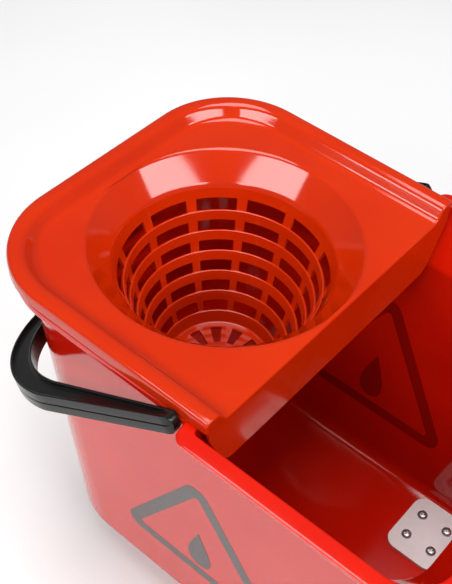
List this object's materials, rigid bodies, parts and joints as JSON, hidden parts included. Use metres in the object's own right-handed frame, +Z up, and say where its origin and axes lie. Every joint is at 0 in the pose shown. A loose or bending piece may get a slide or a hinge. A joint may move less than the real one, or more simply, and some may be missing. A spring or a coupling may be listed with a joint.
{
  "type": "mop bucket with wringer",
  "caption": "Plastic mop bucket with a lift-off tray wringer with a slotted conical basket, a swing handle and swivel castors under the floor.",
  "frame": {"origin": "on the floor under the middle of the object's box", "axes": "+X towards the open end of the bucket, +Y across it, +Z up"},
  "size_m": [0.3978, 0.321, 0.3517],
  "materials": {
    "bucket_plastic": "glossy moulded polypropylene",
    "wringer_plastic": "glossy moulded polypropylene",
    "handle_plastic": "satin moulded plastic",
    "backing_plastic": "satin white moulded plastic",
    "zinc_plate": "zinc plated",
    "zinc_fastener": "zinc plated",
    "fork_plastic": "satin moulded plastic",
    "wheel_rubber": "matt rubber"
  },
  "bodies": {
    "bucket_body": {"bucket": "bucket_plastic", "backing_plate_open_end_left": "backing_plastic", "castor_plate_open_end_left": "zinc_plate", "kingpin_open_end_left": "zinc_fastener", "screw_1_open_end_left": "zinc_fastener", "screw_2_open_end_left": "zinc_fastener", "screw_3_open_end_left": "zinc_fastener", "screw_4_open_end_left": "zinc_fastener", "backing_plate_open_end_right": "backing_plastic", "castor_plate_open_end_right": "zinc_plate", "kingpin_open_end_right": "zinc_fastener", "screw_1_open_end_right": "zinc_fastener", "screw_2_open_end_right": "zinc_fastener", "screw_3_open_end_right": "zinc_fastener", "screw_4_open_end_right": "zinc_fastener", "backing_plate_wringer_end_left": "backing_plastic", "castor_plate_wringer_end_left": "zinc_plate", "kingpin_wringer_end_left": "zinc_fastener", "screw_1_wringer_end_left": "zinc_fastener", "screw_2_wringer_end_left": "zinc_fastener", "screw_3_wringer_end_left": "zinc_fastener", "screw_4_wringer_end_left": "zinc_fastener", "backing_plate_wringer_end_right": "backing_plastic", "castor_plate_wringer_end_right": "zinc_plate", "kingpin_wringer_end_right": "zinc_fastener", "screw_1_wringer_end_right": "zinc_fastener", "screw_2_wringer_end_right": "zinc_fastener", "screw_3_wringer_end_right": "zinc_fastener", "screw_4_wringer_end_right": "zinc_fastener"},
    "wringer_body": {"wringer": "wringer_plastic"},
    "handle_body": {"handle": "handle_plastic", "handle_pin_left": "zinc_fastener", "handle_pin_right": "zinc_fastener"},
    "fork_body_open_end_left": {"fork_open_end_left": "fork_plastic", "axle_open_end_left": "zinc_fastener"},
    "wheel_body_open_end_left": {"wheel_open_end_left": "wheel_rubber"},
    "fork_body_open_end_right": {"fork_open_end_right": "fork_plastic", "axle_open_end_right": "zinc_fastener"},
    "wheel_body_open_end_right": {"wheel_open_end_right": "wheel_rubber"},
    "fork_body_wringer_end_left": {"fork_wringer_end_left": "fork_plastic", "axle_wringer_end_left": "zinc_fastener"},
    "wheel_body_wringer_end_left": {"wheel_wringer_end_left": "wheel_rubber"},
    "fork_body_wringer_end_right": {"fork_wringer_end_right": "fork_plastic", "axle_wringer_end_right": "zinc_fastener"},
    "wheel_body_wringer_end_right": {"wheel_wringer_end_right": "wheel_rubber"}
  },
  "joints": [
    {"name": "wringer_lift", "type": "slide", "parent": "bucket_body", "child": "wringer_body", "axis": [0, 0, 1], "range_m": [0, 0.2]},
    {"name": "handle_swing", "type": "hinge", "parent": "bucket_body", "child": "handle_body", "pos_m": [-0.00473, 0, 0.336], "axis": [0, 1, 0], "range_deg": [0, 150]},
    {"name": "swivel_open_end_left", "type": "hinge", "parent": "bucket_body", "child": "fork_body_open_end_left", "pos_m": [0.10727, 0.069, 0.047], "axis": [0, 0, 1], "continuous": true},
    {"name": "wheel_spin_open_end_left", "type": "hinge", "parent": "fork_body_open_end_left", "child": "wheel_body_open_end_left", "pos_m": [0.09227, 0.069, 0.02], "axis": [0, 1, 0], "continuous": true},
    {"name": "swivel_open_end_right", "type": "hinge", "parent": "bucket_body", "child": "fork_body_open_end_right", "pos_m": [0.10727, -0.069, 0.047], "axis": [0, 0, 1], "continuous": true},
    {"name": "wheel_spin_open_end_right", "type": "hinge", "parent": "fork_body_open_end_right", "child": "wheel_body_open_end_right", "pos_m": [0.09227, -0.069, 0.02], "axis": [0, 1, 0], "continuous": true},
    {"name": "swivel_wringer_end_left", "type": "hinge", "parent": "bucket_body", "child": "fork_body_wringer_end_left", "pos_m": [-0.11772, 0.054, 0.047], "axis": [0, 0, 1], "continuous": true},
    {"name": "wheel_spin_wringer_end_left", "type": "hinge", "parent": "fork_body_wringer_end_left", "child": "wheel_body_wringer_end_left", "pos_m": [-0.13273, 0.054, 0.02], "axis": [0, 1, 0], "continuous": true},
    {"name": "swivel_wringer_end_right", "type": "hinge", "parent": "bucket_body", "child": "fork_body_wringer_end_right", "pos_m": [-0.11772, -0.054, 0.047], "axis": [0, 0, 1], "continuous": true},
    {"name": "wheel_spin_wringer_end_right", "type": "hinge", "parent": "fork_body_wringer_end_right", "child": "wheel_body_wringer_end_right", "pos_m": [-0.13273, -0.054, 0.02], "axis": [0, 1, 0], "continuous": true}
  ]
}
